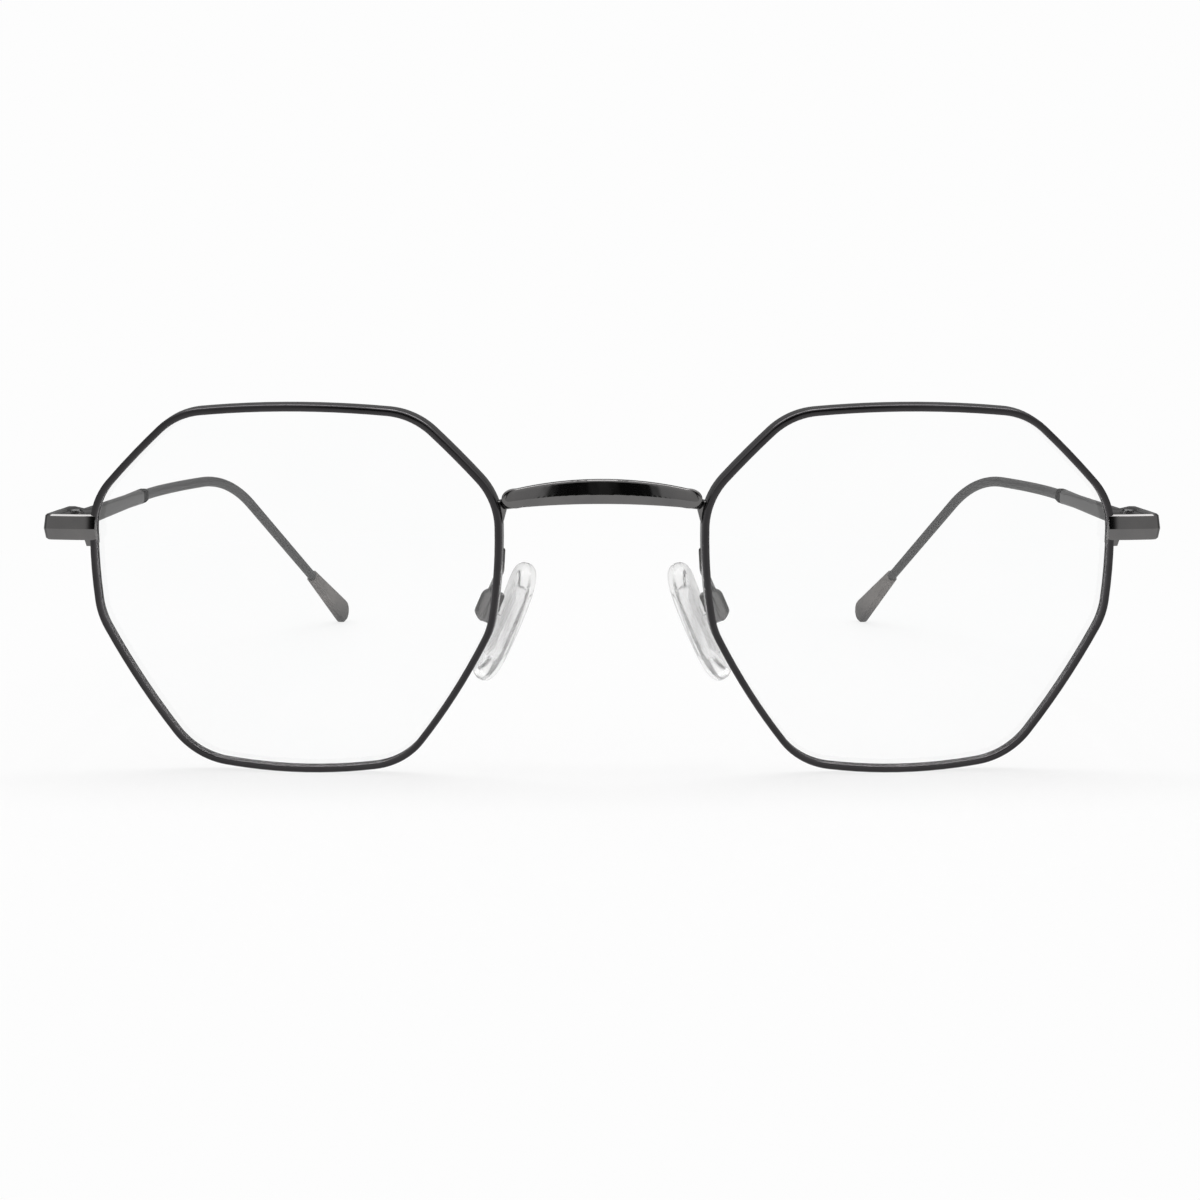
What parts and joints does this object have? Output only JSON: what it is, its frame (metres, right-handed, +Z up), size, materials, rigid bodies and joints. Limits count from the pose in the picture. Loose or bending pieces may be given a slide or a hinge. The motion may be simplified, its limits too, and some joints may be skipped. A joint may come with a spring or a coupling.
{
  "type": "spectacle frame",
  "caption": "Full-rim metal spectacle frame with eight-sided rims, clear lenses, folding temples, rocking nose pads on wire arms and split rims closed by screws.",
  "frame": {"origin": "on the ground under the middle of the whole frame, as it stands open on its rims and temple tips", "axes": "+X to the wearer's left, +Y from the lenses back towards the ears, +Z up"},
  "size_m": [0.1334, 0.151, 0.045],
  "materials": {
    "polished_metal": "polished gunmetal plating",
    "satin_metal": "satin grey",
    "screw_steel": "bright",
    "dark_ring": "glossy",
    "dark_sleeve": "satin",
    "grey_tip": "satin",
    "clear_lens": "clear, coated",
    "clear_pad": "clear, soft",
    "pad_insert": "bright"
  },
  "bodies": {
    "front": {"bridge": "polished_metal", "rim_left": "polished_metal", "rim_right": "polished_metal", "lens_left": "clear_lens", "lens_right": "clear_lens", "endpiece_left": "polished_metal", "endpiece_right": "polished_metal", "closing_block_upper_left": "polished_metal", "closing_block_upper_right": "polished_metal", "closing_block_lower_left": "polished_metal", "closing_block_lower_right": "polished_metal", "closing_screw_left": "screw_steel", "closing_screw_right": "screw_steel", "front_hinge_left": "satin_metal", "front_hinge_right": "satin_metal", "hinge_screw_left": "screw_steel", "hinge_screw_right": "screw_steel", "pad_arm_left": "polished_metal", "pad_arm_right": "polished_metal", "pad_box_left": "polished_metal", "pad_box_right": "polished_metal", "pad_screw_left": "screw_steel", "pad_screw_right": "screw_steel"},
    "nose_pad_left": {"nose_pad_left": "clear_pad", "pad_core_left": "pad_insert"},
    "temple_left": {"temple_arm_left": "satin_metal", "temple_hinge_left": "satin_metal", "temple_ring_left": "dark_ring", "temple_sleeve_left": "dark_sleeve", "temple_tip_left": "grey_tip"},
    "nose_pad_right": {"nose_pad_right": "clear_pad", "pad_core_right": "pad_insert"},
    "temple_right": {"temple_arm_right": "satin_metal", "temple_hinge_right": "satin_metal", "temple_ring_right": "dark_ring", "temple_sleeve_right": "dark_sleeve", "temple_tip_right": "grey_tip"}
  },
  "joints": [
    {"name": "temple_left_fold", "type": "hinge", "parent": "front", "child": "temple_left", "pos_m": [0.0642, -0.05958, 0.02994], "axis": [0, 0, 1], "range_deg": [0, 85]},
    {"name": "temple_right_fold", "type": "hinge", "parent": "front", "child": "temple_right", "pos_m": [-0.0642, -0.05958, 0.02994], "axis": [0, 0, -1], "range_deg": [0, 80]},
    {"name": "pad_left_rock", "type": "hinge", "parent": "front", "child": "nose_pad_left", "pos_m": [0.01303, -0.06325, 0.01987], "axis": [0.1592, 0.9848, 0.0692], "range_deg": [-10, 10]},
    {"name": "pad_right_rock", "type": "hinge", "parent": "front", "child": "nose_pad_right", "pos_m": [-0.01303, -0.06325, 0.01987], "axis": [0.1592, -0.9848, -0.0692], "range_deg": [-10, 10]}
  ]
}
